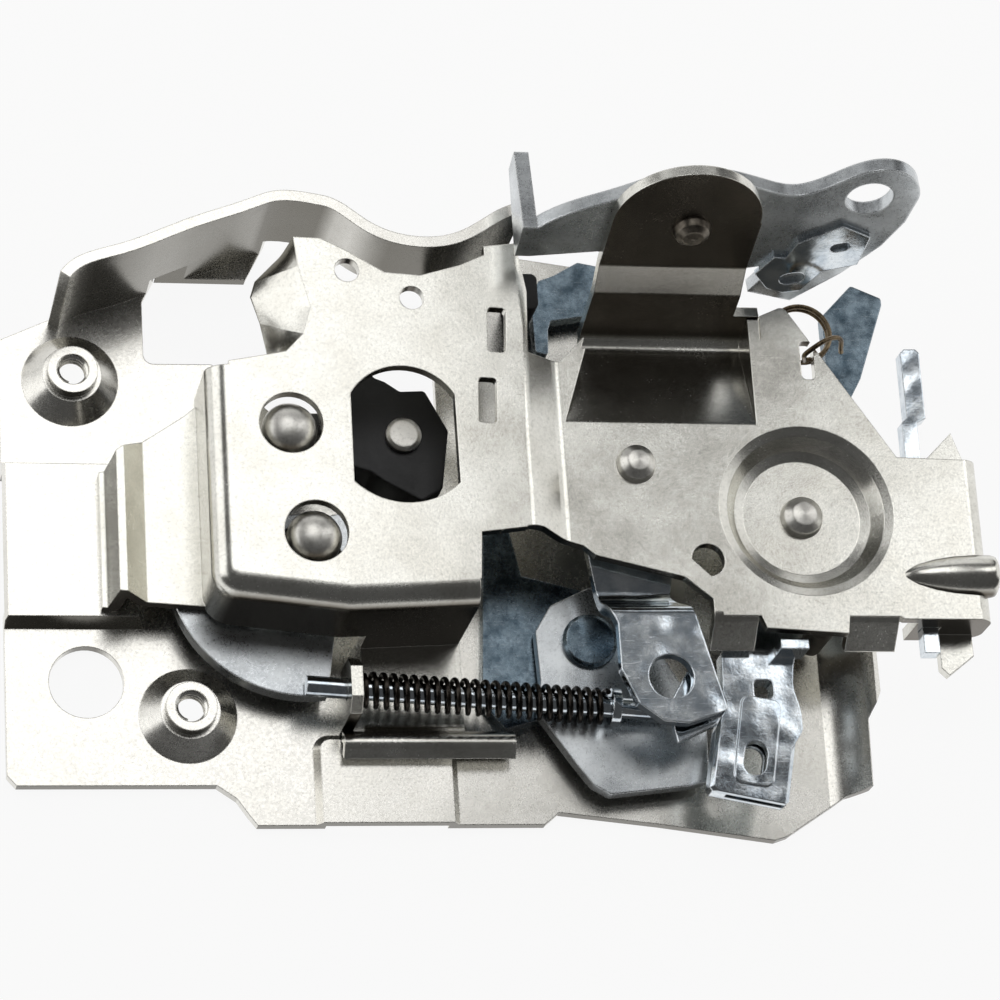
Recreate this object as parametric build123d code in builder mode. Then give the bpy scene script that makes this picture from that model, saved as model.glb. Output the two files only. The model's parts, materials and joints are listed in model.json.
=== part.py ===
import os
from math import cos, radians, sin

from build123d import *

os.makedirs("parts", exist_ok=True)

# Millimetres. X to the right, Y up and Z toward the viewer as the lock lies on its back plate.
# The origin is the centre of the locating hole, at the underside of the back plate.

sheet = 1.8
run_gap = 0.05

# back plate
locating_r = 5.7
upper_boss = (-1.3, 49.3)
lower_boss = (15.3, -5.4)
boss_base_r = 7.5
collar_r = 3.9
collar_top = 6.8
thread_bore_r = 2.5
flange_top = 22.0
flange_gap_top = 6.8
band_top = 4.8
pad_rise = 1.4
flange_points = [
    (-4.5, 59), (-3, 60.7), (4.7, 63.9), (15.5, 68.5), (24.8, 72), (29, 73.5), (34.3, 73.3),
    (38.2, 72.4), (43.4, 68.8), (48, 66.8), (51.8, 66.3), (56.1, 66.8), (59.7, 68.4), (64.2, 71.3),
    (68, 72.6),
]

# front frame levels
foot_z = 10.2
ridge_z = 14.8
cover_z = 24.0
bracket_z = 20.0
cover_left = 17.0
cover_bend = 3.4
bracket_bend = 2.4
clip_right = 138.8
clip_under_z = 13.0
window_r = 4.9

# pivots
pawl_axis = (33.0, 16.8)
upper_axis = (30.0, 34.2)
fork_axis = (49.0, 37.0)
clevis_axis = (83.6, 29.5)
dish_axis = (110.3, 22.3)
release_axis = (77.3, 5.0)
transfer_axis = (89.0, 60.0)
post_r = 4.1
fork_pin_r = 2.0
clevis_pin_r = 3.0
dish_pin_r = 3.0
release_pin_r = 2.6
transfer_pin_r = 2.2
lug_pin_r = 2.0

# dish pressed into the bracket
dish_r = 13.3
dish_depth = 3.5
dish_profile = [(0, -3.5), (9.4, -3.5), (10.9, -2.9), (12.6, -0.6), (14, 0), (15.3, 0)]

# upright lug
lug_tilt = 77.0
fold_y = 52.9
fold_z = 13.0
ramp_y = fold_y - 16.4
ramp_left = 72.4
ramp_right = 103.4
lug_left = 77.6
lug_right = 100.7
bracket_tip = (109.4, fold_y + 3.8)
lug_mid = (lug_left + lug_right) / 2
lug_r = (lug_right - lug_left) / 2
lug_length = 41.0
jog_low = 12.8
jog_high = 18.2
jog = 1.5
lug_pin_s = 27.6
lug_pin_x = 90.2
lug_y = cos(radians(lug_tilt))
lug_z = sin(radians(lug_tilt))
# front face of the lug above its jog
lug_face = Plane(
    origin=(0, fold_y + jog * lug_z, fold_z - jog * lug_y),
    x_dir=(1, 0, 0),
    z_dir=(0, -lug_z, lug_y),
)

# top lever
lever_t = 2.3
lever_back = sheet + 0.1
wing_x = 67.0
lever_hole = (117.2, 33.9)
lever_hole_r = 3.7

# rod and its spring
rod_r = 1.6
rod_z = 10.3
rod_start = (32.2, -3.3)
rod_end = (88.3, -7.2)
wire_r = 0.4
spring_r = 2.5
spring_turns = 24

# levels of the moving plates
pawl_low = 5.2
pawl_t = 3.0
fork_low = 4.5
fork_t = 7.0
release_low = 4.6
release_t = 2.4
clevis_low = 14.4
clevis_t = 2.0
clevis_body_z = 19.0
link_low = 10.6
link_t = 3.3
lock_low = 7.4
lock_t = 2.0
transfer_low = 4.0
transfer_t = 2.5


def coil_points(radius, pitch, turns, steps=12):
    # points of a wire wound round the local Z axis
    return [
        (
            radius * cos(radians(360 * i / steps)),
            radius * sin(radians(360 * i / steps)),
            pitch * i / steps,
        )
        for i in range(turns * steps + 1)
    ]


with BuildPart() as back_plate:
    # flat floor that curls up at its right end
    with BuildSketch(Plane.XZ.offset(-80)):
        with BuildLine():
            Polyline((115.2, sheet), (-12.3, sheet), (-12.3, 0), (115.4, 0))
            ThreePointArc((115.4, 0), (120.2, 2.1), (123.8, 6.8))
            Line((123.8, 6.8), (122.4, 7.9))
            ThreePointArc((122.4, 7.9), (119.2, 3.7), (115.2, sheet))
        make_face()
    extrude(amount=120)
    with BuildSketch():
        with BuildLine():
            Polyline(
                (-12.3, 56), (-12.3, -14.8), (-10.9, -16.4), (19.3, -16.4), (22.3, -18.5),
                (24, -21), (25.3, -22.7), (69.7, -22.7), (72, -20.8), (87.5, -22.7),
                (105.9, -25.4), (108, -24.7), (117.7, -18.5), (121.2, -17.8), (121.4, -6.9),
                (123.4, -2.8), (123.2, 12), (118, 30), (104, 46), (96.5, 50), (96.5, 65.5),
                (86, 70), (68, 72.5), (62, 70), (56, 66.3), (48, 66.3), (38.2, 72), (29, 73),
                (15.5, 68), (4.7, 63.4), (-3.6, 60), close=True,
            )
        make_face()
    extrude(amount=20, mode=Mode.INTERSECT)
    # wavy upstanding flange between two parallel curves
    with BuildSketch():
        with BuildLine() as flange_line:
            outer = Spline(*flange_points)
            inner = Spline(*[
                outer @ t + Vector(0, 0, -sheet).cross((outer % t).normalized())
                for t in [i / 24 for i in range(25)]
            ])
            Line(outer @ 0, inner @ 0)
            Line(outer @ 1, inner @ 1)
        make_face()
    extrude(amount=flange_top)
    # striker mouth, open below the middle of the flange
    with BuildSketch() as mouth:
        with BuildLine():
            Polyline(
                (10.3, 52.5), (21, 52.6), (30, 44.6), (56.5, 44.6), (56.5, 76),
                (31.5, 76), (26.9, 67.2), (12.4, 67.2), (10.3, 63), close=True,
            )
        make_face()
        fillet(mouth.vertices().group_by(Axis.X)[0], 1.6)
    extrude(amount=flange_gap_top, mode=Mode.SUBTRACT)
    # raised band under the left foot of the frame
    with BuildSketch(Plane.XY.offset(sheet)):
        with Locations((-2, 22)):
            Rectangle(22, 27)
    extrude(amount=band_top - sheet, taper=20)
    with BuildSketch():
        with Locations((-2.9, 22)):
            Rectangle(18.8, 22.4)
    extrude(amount=band_top - sheet, mode=Mode.SUBTRACT)
    with BuildSketch():
        with Locations((-17.3, 22)):
            Rectangle(10, 40)
    extrude(amount=10, mode=Mode.SUBTRACT)
    # embossed pad
    with BuildSketch(Plane.XY.offset(sheet)):
        with Locations((45.3, -17.6)):
            RectangleRounded(22.2, 18.2, 2.5)
    extrude(amount=pad_rise, taper=35)
    with BuildSketch():
        with Locations((45.3, -17.6)):
            Rectangle(19, 15)
    extrude(amount=pad_rise, mode=Mode.SUBTRACT)
    with Locations((45.3, -22.7, 0)):
        Box(24, 8, 12, align=(Align.CENTER, Align.MAX, Align.CENTER), mode=Mode.SUBTRACT)
    # drawn bosses with collars
    with Locations((*upper_boss, sheet), (*lower_boss, sheet)):
        Cone(boss_base_r, 4.6, 3, align=(Align.CENTER, Align.CENTER, Align.MIN))
        Cylinder(collar_r, collar_top - sheet, align=(Align.CENTER, Align.CENTER, Align.MIN))
    with Locations((*upper_boss, 0), (*lower_boss, 0)):
        Cone(6.4, 3.4, 3.2, align=(Align.CENTER, Align.CENTER, Align.MIN), mode=Mode.SUBTRACT)
        Cylinder(thread_bore_r, collar_top, align=(Align.CENTER, Align.CENTER, Align.MIN), mode=Mode.SUBTRACT)
    Cylinder(locating_r, 2 * sheet, mode=Mode.SUBTRACT)
    # seats of the pivots
    with Locations((*pawl_axis, 0), (*upper_axis, 0)):
        Cylinder(post_r - 0.8, 2 * sheet, mode=Mode.SUBTRACT)
back_plate.part.label = "back_plate"
export_step(back_plate.part, "parts/back_plate.step")

# left foot of the frame with its long ridge
with BuildPart() as frame_foot:
    with BuildSketch(Plane.XZ.offset(-80)):
        with BuildLine():
            Polyline(
                (2.2, band_top + sheet), (3, band_top + sheet), (4, ridge_z), (5.2, ridge_z),
                (8.6, foot_z), (cover_left + sheet, foot_z),
            )
            offset(amount=sheet, side=Side.RIGHT)
        make_face()
    extrude(amount=80)
    with BuildSketch():
        with BuildLine():
            Polyline(
                (1, 10.4), (cover_left + sheet, 9.2), (cover_left + sheet, 43.4), (15, 40.2),
                (3.6, 32.6), (1, 32), close=True,
            )
        make_face()
    extrude(amount=60, mode=Mode.INTERSECT)

# ramp, fold and jogged lug from one side profile
with BuildPart() as frame_lug:
    with BuildSketch(Plane.YZ.offset(ramp_left)):
        with BuildLine():
            FilletPolyline(
                (ramp_y - 3, bracket_z),
                (ramp_y, bracket_z),
                (fold_y, fold_z),
                (fold_y + jog_low * lug_y, fold_z + jog_low * lug_z),
                (fold_y + jog_high * lug_y + jog * lug_z, fold_z + jog_high * lug_z - jog * lug_y),
                (fold_y + lug_length * lug_y + jog * lug_z, fold_z + lug_length * lug_z - jog * lug_y),
                radius=2,
            )
            offset(amount=sheet, side=Side.RIGHT)
        make_face()
    extrude(amount=ramp_right + sheet - ramp_left)
    # left edge of the ramp runs in toward the fold
    with BuildSketch():
        with BuildLine():
            Polyline(
                (ramp_left, ramp_y), (lug_left, fold_y), (lug_left, fold_y + 3),
                (ramp_left - 3, fold_y + 3), (ramp_left - 3, ramp_y), close=True,
            )
        make_face()
    extrude(amount=bracket_z + 1, mode=Mode.SUBTRACT)
    # straight sides and rounded top of the lug
    with BuildSketch(lug_face.offset(-8)):
        with BuildLine():
            Polyline((lug_left, 60), (60, 60), (60, 1), (lug_left, 1), (lug_left, 60))
        make_face()
        with BuildLine():
            Polyline((lug_right, 60), (112, 60), (112, 7.6), (lug_right + 0.4, 7.6), (lug_right, 60))
        make_face()
        with Locations((lug_mid, lug_length - lug_r + 10)):
            Rectangle(2 * lug_r + 2, 20)
        with Locations((lug_mid, lug_length - lug_r)):
            Circle(lug_r, mode=Mode.SUBTRACT)
    extrude(amount=12, mode=Mode.SUBTRACT)

# left side wall of the ramp
with BuildPart() as ramp_wall:
    with BuildSketch(Plane.YZ.offset(ramp_left - 1)):
        with BuildLine():
            Polyline(
                (ramp_y, bracket_z - sheet), (ramp_y, bracket_z), (fold_y - 4, bracket_z),
                (fold_y - 4, fold_z + 0.6), close=True,
            )
        make_face()
    extrude(amount=8)
    with BuildSketch():
        with BuildLine():
            Polyline(
                (ramp_left - 0.9, ramp_y), (ramp_left + 0.6, ramp_y), (lug_left - 0.6, fold_y - 4),
                (lug_left - 2.4, fold_y - 4), close=True,
            )
        make_face()
    extrude(amount=40, mode=Mode.INTERSECT)

with BuildPart() as front_frame:
    # slope, bracket and clip as one bent strip
    with BuildSketch(Plane.XZ.offset(-80)):
        with BuildLine():
            FilletPolyline(
                (60, cover_z), (66.4, cover_z), (71.8, bracket_z), (clip_right, bracket_z),
                (clip_right, clip_under_z - sheet), (131.6, clip_under_z - sheet), radius=bracket_bend,
            )
            offset(amount=sheet, side=Side.RIGHT)
        make_face()
    extrude(amount=90)
    with BuildSketch() as bracket_outline:
        with BuildLine():
            Polyline(
                (61, 17), (62.5, 17.5), (67.8, 18.1), (74.5, 16.1), (76.3, 14.6), (90, 11.2),
                (95.7, 6.4), (95.7, 5), (101.6, 5), (102.4, 3), (115.2, 2.2), (115.6, 5),
                (123.6, 5), (124.4, 4.6), (142, 4.6), (142, 31),
                (125.6, 31.4), (bracket_tip[0], bracket_tip[1]), (105.4, fold_y + 2), (105.4, fold_y - 2),
                (77, fold_y - 2), (72.8, fold_y - 6.4), (67, fold_y - 6.4), (67.5, fold_y + 4), (66, 64.6),
                (61, 64), close=True,
            )
        make_face()
        fillet(bracket_outline.vertices().sort_by_distance((*bracket_tip, 0))[0], 1.2)
    extrude(amount=60, mode=Mode.INTERSECT)
    add(frame_foot.part)
    # drawn edge of the cover round its left and lower sides
    with BuildLine() as cover_edge:
        FilletPolyline((cover_left, 43.4), (cover_left, 7.2), (37.8, 4.8), (57.4, 5.8), radius=4.4)
    with BuildSketch(Plane(origin=(cover_left, 43.4, 0), x_dir=(1, 0, 0), z_dir=(0, -1, 0))):
        with BuildLine():
            FilletPolyline(
                (cover_bend + 0.6, cover_z), (0, cover_z), (0, foot_z - sheet / 2), radius=cover_bend,
            )
            offset(amount=sheet, side=Side.LEFT)
        make_face()
    sweep(path=cover_edge.line)
    # flat of the cover
    with BuildSketch(Plane.XY.offset(cover_z - sheet)):
        with BuildLine():
            Polyline(
                (cover_left + cover_bend, 10.2), (37.8, 4.8 + cover_bend), (57.4, 5.8 + cover_bend),
                (57.9, 16.7), (65, 17.6), (66.4, 50.6), (65.4, 64.4), (62, 63),
                (57.1, 60.7), (50.7, 58.8), (45.2, 59.2), (39.2, 62.8), (35.4, 64.7),
                (31.2, 64.8), (31.7, 59.9), (33.4, 53.1), (32, 48.6), (29.3, 45.7),
                (cover_left + cover_bend, 44), close=True,
            )
        make_face()
    extrude(amount=sheet)
    # side lobe folded down toward the mouth
    with BuildSketch(Plane.XY.offset(cover_z)):
        with BuildLine():
            Polyline(
                (31.2, 64.8), (31.7, 59.9), (33.4, 53.1), (32, 48.6), (29.3, 45.7),
                (36, 46), (37, 62), close=True,
            )
        make_face()
    with BuildSketch(Plane.XY.offset(cover_z - 6.4)):
        with BuildLine():
            Polyline(
                (30.2, 64.4), (25.9, 59.9), (25.1, 57.3), (26.4, 52.9), (27.3, 47.9),
                (36, 46), (37, 62), close=True,
            )
        make_face()
    loft()
    with BuildSketch(Plane.XY.offset(cover_z - sheet)):
        with BuildLine():
            Polyline(
                (32.4, 64.8), (32.9, 59.9), (34.6, 53.1), (33.2, 48.6), (30.8, 44.7),
                (39, 44), (39, 66.8), close=True,
            )
        make_face()
    with BuildSketch(Plane.XY.offset(cover_z - 6.5)):
        with BuildLine():
            Polyline(
                (33, 66.8), (27.8, 59.7), (27, 57.2), (28.3, 53.2), (28.6, 44),
                (39, 44), (39, 66.8), close=True,
            )
        make_face()
    loft(mode=Mode.SUBTRACT)
    # room for the ramp
    with BuildSketch(Plane.XY.offset(10)):
        with BuildLine():
            Polyline(
                (ramp_left, ramp_y), (ramp_right, ramp_y), (ramp_right, fold_y + 7),
                (lug_left, fold_y + 7), (lug_left, fold_y), close=True,
            )
        make_face()
    extrude(amount=12, mode=Mode.SUBTRACT)
    add(frame_lug.part)
    add(ramp_wall.part)
    # right side wall of the ramp
    with BuildSketch(Plane.YZ.offset(ramp_right)):
        with BuildLine():
            Polyline(
                (ramp_y, bracket_z - sheet), (ramp_y, bracket_z), (fold_y + 1.4, bracket_z),
                (fold_y, fold_z - sheet), (fold_y - 2, fold_z - sheet), close=True,
            )
        make_face()
    extrude(amount=sheet)
    # dish pressed into the bracket
    with Locations((*dish_axis, bracket_z)):
        Cylinder(dish_r + 1.5, 3 * sheet, mode=Mode.SUBTRACT)
    with BuildSketch(Plane(origin=(*dish_axis, bracket_z), x_dir=(1, 0, 0), z_dir=(0, -1, 0))):
        with BuildLine():
            Polyline(*dish_profile, *[(r, z - sheet) for r, z in reversed(dish_profile)], close=True)
        make_face()
    revolve(axis=Axis((*dish_axis, 0), (0, 0, 1)))
    # lower wall of the cover goes on down to the foot strip
    with BuildSketch(Plane.XY.offset(sheet)):
        with BuildLine():
            Polyline(
                (42, 5.06), (57.4, 5.8), (57.9, 10), (58.1, 16.7), (56.3, 16.8), (55.7, 7.6),
                (42, 6.86), close=True,
            )
        make_face()
    extrude(amount=cover_z - sheet - 3)
    # foot strip with the roof-like lip
    with BuildSketch(Plane.YZ.offset(42)):
        with BuildLine():
            FilletPolyline(
                (6.4, 2 * sheet), (-8.2, 2 * sheet), (-10.4, 7.6), (-13.2, 5), radius=1.7,
            )
            offset(amount=sheet - 0.2, side=Side.LEFT)
        make_face()
    extrude(amount=15.6)
    with BuildSketch(Plane.YZ.offset(38.4)):
        with BuildLine():
            FilletPolyline((-8.6, 4.4), (-10.4, 7.6), (-13.2, 5), radius=1.7)
            offset(amount=sheet - 0.2, side=Side.LEFT)
        make_face()
    extrude(amount=26.6)
    with BuildSketch(Plane.XY.offset(sheet)):
        with BuildLine():
            Polyline((42.4, -0.4), (38.4, -0.4), (38.4, -8.4), (42.4, -8.4), close=True)
        make_face()
    extrude(amount=sheet)
    # tab that carries the rod
    with BuildSketch(Plane.YZ.offset(38.4)):
        with BuildLine():
            Polyline((-8.4, sheet), (0.4, sheet), (0.4, 12.5), (-1.6, 15), (-6.4, 15), (-8.4, 12.5), close=True)
        make_face()
    extrude(amount=sheet)
    # lips folded down at the lower edge of the bracket
    for lip_left, lip_width in ((94.2, 7), (115.6, 8)):
        with BuildSketch(Plane.YZ.offset(lip_left)):
            with BuildLine():
                FilletPolyline((9, bracket_z), (4.8, bracket_z), (0.8, bracket_z - 4.6), radius=2)
                offset(amount=sheet, side=Side.LEFT)
            make_face()
        extrude(amount=lip_width)
    # guide tabs of the right clip
    with Locations((131, 29.6, bracket_z), (132, 5.5, bracket_z)):
        Box(10, sheet, 10, align=(Align.CENTER, Align.CENTER, Align.MAX))
    # pointed and bent tabs of the clip's under layer
    with BuildSketch(Plane.XY.offset(clip_under_z - sheet)) as under_tabs:
        with BuildLine():
            Polyline(
                (131.8, 8), (131.8, -1), (133, -2.2), (137.2, 1), (137.2, 5), (clip_right, 5),
                (clip_right, 33.6), (137.2, 38.4), (131.8, 33), close=True,
            )
        make_face()
    extrude(amount=sheet)
    # bead across the clip, growing toward its bend and hollow below
    with BuildSketch(Plane.YZ.offset(126)):
        with Locations((11.9, bracket_z - 0.7)):
            RegularPolygon(0.9, 10)
    with BuildSketch(Plane.YZ.offset(clip_right + 0.9)):
        with Locations((11.9, bracket_z - 0.7)):
            RegularPolygon(3.0, 10)
    loft(ruled=True)
    with BuildSketch(Plane.YZ.offset(128)):
        with Locations((11.9, bracket_z - 1.4)):
            RegularPolygon(0.3, 10)
    with BuildSketch(Plane.YZ.offset(clip_right - 0.4)):
        with Locations((11.9, bracket_z - 1.4)):
            RegularPolygon(1.8, 10)
    loft(ruled=True, mode=Mode.SUBTRACT)
    # windows, slots and holes
    with BuildSketch(Plane.XY.offset(cover_z - 3)):
        with Locations((29.6, 34), (32.7, 16.6)):
            Circle(window_r)
        with Locations((39.3, 59.4), (49.2, 55)):
            Circle(1.9)
        with Locations(Location((62.2, 49.9), -3), Location((60.1, 38.2), -3)):
            RectangleRounded(2.9, 7.4, 0.7)
        with BuildLine():
            ThreePointArc((38.9, 39), (47, 43.6), (55, 39))
            Line((55, 39), (55.1, 24.7))
            ThreePointArc((55.1, 24.7), (47, 21.3), (38.8, 24.7))
            Line((38.8, 24.7), (38.9, 39))
        make_face()
    extrude(amount=6, mode=Mode.SUBTRACT)
    with BuildSketch(Plane.XY.offset(bracket_z - 3)):
        with Locations((93.9, 14)):
            Circle(2.6)
        with Locations(Location((92, 12.1), -45)):
            Rectangle(6, 2, mode=Mode.SUBTRACT)
        with Locations((bracket_tip[0] + 3.2, bracket_tip[1] - 9.2)):
            RectangleRounded(2.2, 6.4, 0.8)
    extrude(amount=6, mode=Mode.SUBTRACT)
    with BuildSketch():
        with Locations(clevis_axis):
            Circle(clevis_pin_r - 0.8)
        with Locations(dish_axis):
            Circle(dish_pin_r - 0.8)
    extrude(amount=25, mode=Mode.SUBTRACT)
    # rod hole and slide holes
    with Locations(Location((38, rod_start[1] - 0.45, rod_z), (0, 90, 0))):
        Cylinder(rod_r + run_gap + 0.1, 6, mode=Mode.SUBTRACT)
    with Locations((129.7, 17, 14.9)):
        Box(3, 40, 2.8, mode=Mode.SUBTRACT)
    with Locations(lug_face.location * Location((lug_pin_x, lug_pin_s, 0))):
        Cylinder(lug_pin_r, 8, mode=Mode.SUBTRACT)
front_frame.part.label = "front_frame"
export_step(front_frame.part, "parts/front_frame.step")

with BuildPart() as fork_bolt:
    # long arm to the left of the throat and a short shoulder to its right
    with BuildSketch(Plane.XY.offset(fork_low)) as fork_outline:
        with BuildLine():
            Polyline(
                (38.8, 33.2), (36.2, 48), (37.2, 55.4), (40.6, 57), (43.2, 54), (44.8, 46.8),
                (46.6, 46.1), (48.9, 44.5), (52.8, 44.7), (56.2, 38), (54.8, 28.4), (51.5, 26.4),
                (45.8, 29.6), (43.8, 31.1), (41.3, 31.9), close=True,
            )
        make_face()
        fillet(fork_outline.vertices(), 0.8)
        with Locations(fork_axis):
            Circle(fork_pin_r + run_gap, mode=Mode.SUBTRACT)
    extrude(amount=fork_t)
fork_bolt.part.label = "fork_bolt"
export_step(fork_bolt.part, "parts/fork_bolt.step")

with BuildPart() as fork_pivot:
    with BuildSketch(Plane(origin=(*fork_axis, 0), x_dir=(1, 0, 0), z_dir=(0, -1, 0))):
        with BuildLine():
            Polyline(
                (0, sheet), (4.2, sheet), (4.2, fork_low - run_gap), (fork_pin_r, fork_low - run_gap),
                (fork_pin_r, fork_low + fork_t + run_gap), (2.8, fork_low + fork_t + run_gap),
                (2.8, fork_low + fork_t + 0.9), (2.2, fork_low + fork_t + 1.3),
                (0, fork_low + fork_t + 1.3), close=True,
            )
        make_face()
    revolve(axis=Axis((*fork_axis, 0), (0, 0, 1)))
fork_pivot.part.label = "fork_pivot"
export_step(fork_pivot.part, "parts/fork_pivot.step")

dome_top = cover_z - 0.4
with BuildPart() as window_rivets:
    # shouldered posts whose domes show in the two windows
    for post_axis in (pawl_axis, upper_axis):
        with BuildSketch(Plane(origin=(*post_axis, 0), x_dir=(1, 0, 0), z_dir=(0, -1, 0))):
            with BuildLine():
                Polyline(
                    (0, 0), (post_r - 0.8, 0), (post_r - 0.8, sheet), (5.2, sheet),
                    (5.2, pawl_low - run_gap), (post_r, pawl_low - run_gap), (post_r, dome_top - 3),
                    (post_r - 0.5, dome_top - 1.6), (post_r - 1.5, dome_top - 0.6), (0, dome_top), close=True,
                )
            make_face()
        revolve(axis=Axis((*post_axis, 0), (0, 0, 1)))
window_rivets.part.label = "window_rivets"
export_step(window_rivets.part, "parts/window_rivets.step")

with BuildPart() as pawl:
    with BuildSketch(Plane.XY.offset(pawl_low)):
        with Locations(pawl_axis):
            Circle(8.4)
        # nose against the tooth of the fork
        with BuildLine():
            Polyline((35, 24.4), (41.6, 26), (42.9, 25.6), (45.2, 24.1), (44.6, 20), (40.5, 13), close=True)
        make_face()
        # curved tail that shows below the cover
        with BuildLine():
            rim = CenterArc(pawl_axis, 21, 192, 86)
            Line(rim @ 1, (38, 10))
            Line((38, 10), (27, 24))
            Line((27, 24), rim @ 0)
        make_face()
        with Locations(pawl_axis):
            Circle(post_r + run_gap, mode=Mode.SUBTRACT)
    extrude(amount=pawl_t)
pawl.part.label = "pawl"
export_step(pawl.part, "parts/pawl.step")

with BuildPart() as pawl_spring:
    with BuildLine() as pawl_spring_line:
        Polyline(*coil_points(post_r + 0.7, 1.3, 4))
    with BuildSketch(Plane(origin=pawl_spring_line.line @ 0, z_dir=pawl_spring_line.line % 0)):
        RegularPolygon(0.55, 5)
    sweep(transition=Transition.RIGHT)
pawl_spring.part.position = (*pawl_axis, 9.2)
pawl_spring.part.label = "pawl_spring"
export_step(pawl_spring.part, "parts/pawl_spring.step")

with BuildPart() as fork_spring:
    with BuildLine() as fork_spring_line:
        Polyline(*coil_points(post_r + 0.7, 1.3, 4))
    with BuildSketch(Plane(origin=fork_spring_line.line @ 0, z_dir=fork_spring_line.line % 0)):
        RegularPolygon(0.55, 5)
    sweep(transition=Transition.RIGHT)
fork_spring.part.position = (*upper_axis, 5.9)
fork_spring.part.label = "fork_spring"
export_step(fork_spring.part, "parts/fork_spring.step")

with BuildPart() as carrier_plate:
    with BuildSketch(Plane.XY.offset(sheet)):
        with BuildLine():
            Polyline((62.5, 27), (60.6, -4), (64, -8), (79, -4), (84, 6), (80, 14), (68, 17), (66, 27), close=True)
        make_face()
        with Locations(release_axis):
            Circle(4, mode=Mode.SUBTRACT)
    extrude(amount=2)
carrier_plate.part.label = "carrier_plate"
export_step(carrier_plate.part, "parts/carrier_plate.step")

with BuildPart() as release_plate:
    with BuildSketch(Plane.XY.offset(release_low)) as release_outline:
        with BuildLine():
            Polyline(
                (68.6, -6.5), (73.9, -14.5), (76.4, -17.9), (79.1, -19.5), (91.3, -18.2),
                (94.7, -17.4), (95, -8), (87, 6), (82.5, 13), (77.9, 14), (71.6, 11),
                (69, 6.8), (69.3, -1.2), close=True,
            )
        make_face()
        fillet(release_outline.vertices(), 1.2)
        with Locations(release_axis):
            Circle(release_pin_r + run_gap, mode=Mode.SUBTRACT)
    extrude(amount=release_t)
release_plate.part.label = "release_plate"
export_step(release_plate.part, "parts/release_plate.step")

with BuildPart() as release_rivet:
    with BuildSketch(Plane(origin=(*release_axis, 0), x_dir=(1, 0, 0), z_dir=(0, -1, 0))):
        with BuildLine():
            Polyline(
                (0, sheet), (4, sheet), (4, release_low - run_gap), (release_pin_r, release_low - run_gap),
                (release_pin_r, release_low + release_t + run_gap), (4.3, release_low + release_t + run_gap),
                (4.3, release_low + release_t + 0.8), (3.8, release_low + release_t + 1.3),
                (0, release_low + release_t + 1.3), close=True,
            )
        make_face()
    revolve(axis=Axis((*release_axis, 0), (0, 0, 1)))
release_rivet.part.label = "release_rivet"
export_step(release_rivet.part, "parts/release_rivet.step")

with BuildPart() as clevis_lever:
    # side profile: pivot plate, slope down to a valley, step up to the body
    with BuildSketch(Plane.YZ.offset(70)):
        with BuildLine():
            FilletPolyline(
                (40, clevis_low + clevis_t), (18, clevis_low + clevis_t), (9, clevis_low + 0.4),
                (6.6, clevis_body_z), (-20, clevis_body_z), radius=2.2,
            )
            offset(amount=clevis_t, side=Side.LEFT)
        make_face()
    extrude(amount=30)
    with BuildSketch() as clevis_outline:
        with BuildLine():
            Polyline(
                (76.6, 30), (75.8, 17), (77.6, 7.6), (79.2, 4), (79.2, -3.4), (81.6, -8.8),
                (85.3, -11.6), (89.2, -11.9), (95.4, -9.8), (91, 7.4), (88.6, 9.4), (89.6, 16), (90.2, 30),
                close=True,
            )
        make_face()
        fillet(clevis_outline.vertices(), 0.7)
        with Locations(clevis_axis):
            Circle(7)
            Circle(clevis_pin_r + run_gap, mode=Mode.SUBTRACT)
        with Locations((86.9, -4.5)):
            Circle(3.5, mode=Mode.SUBTRACT)
    extrude(amount=30, mode=Mode.INTERSECT)
    # back leaf folded under at the lower right corner
    with BuildSketch(Plane.XY.offset(clevis_low)):
        with BuildLine():
            Polyline((87, -8), (88, -14), (94.4, -11), (95.2, -9.6), (93, -2), (90.6, -2), close=True)
        make_face()
    extrude(amount=1.2)
    with BuildSketch(Plane.XY.offset(clevis_low)):
        with BuildLine():
            Polyline((93.6, -10.4), (95.2, -9.6), (93, -2), (91.6, -2.4), close=True)
        make_face()
    extrude(amount=clevis_body_z - clevis_low - 0.5)
clevis_lever.part.label = "clevis_lever"
export_step(clevis_lever.part, "parts/clevis_lever.step")

with BuildPart() as bracket_rivet:
    with BuildSketch(Plane(origin=(*clevis_axis, 0), x_dir=(1, 0, 0), z_dir=(0, -1, 0))):
        with BuildLine():
            Polyline(
                (0, sheet), (4.6, sheet), (4.6, clevis_low - run_gap), (clevis_pin_r, clevis_low - run_gap),
                (clevis_pin_r, bracket_z - sheet), (clevis_pin_r - 0.8, bracket_z - sheet),
                (clevis_pin_r - 0.8, bracket_z), (3.1, bracket_z), (2.8, bracket_z + 1.3),
                (1.7, bracket_z + 2.2), (0, bracket_z + 2.5), close=True,
            )
        make_face()
    revolve(axis=Axis((*clevis_axis, 0), (0, 0, 1)))
bracket_rivet.part.label = "bracket_rivet"
export_step(bracket_rivet.part, "parts/bracket_rivet.step")

dish_top = bracket_z - dish_depth
with BuildPart() as dish_rivet:
    with BuildSketch(Plane(origin=(*dish_axis, 0), x_dir=(1, 0, 0), z_dir=(0, -1, 0))):
        with BuildLine():
            Polyline(
                (0, sheet), (4.6, sheet), (4.6, lock_low - run_gap), (dish_pin_r, lock_low - run_gap),
                (dish_pin_r, lock_low + lock_t + run_gap), (4.6, lock_low + lock_t + run_gap),
                (4.6, link_low - run_gap), (dish_pin_r, link_low - run_gap),
                (dish_pin_r, dish_top - sheet), (dish_pin_r - 0.8, dish_top - sheet),
                (dish_pin_r - 0.8, dish_top), (3.4, dish_top), (3.1, dish_top + 1.3),
                (1.9, dish_top + 2.2), (0, dish_top + 2.5), close=True,
            )
        make_face()
    revolve(axis=Axis((*dish_axis, 0), (0, 0, 1)))
dish_rivet.part.label = "dish_rivet"
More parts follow.
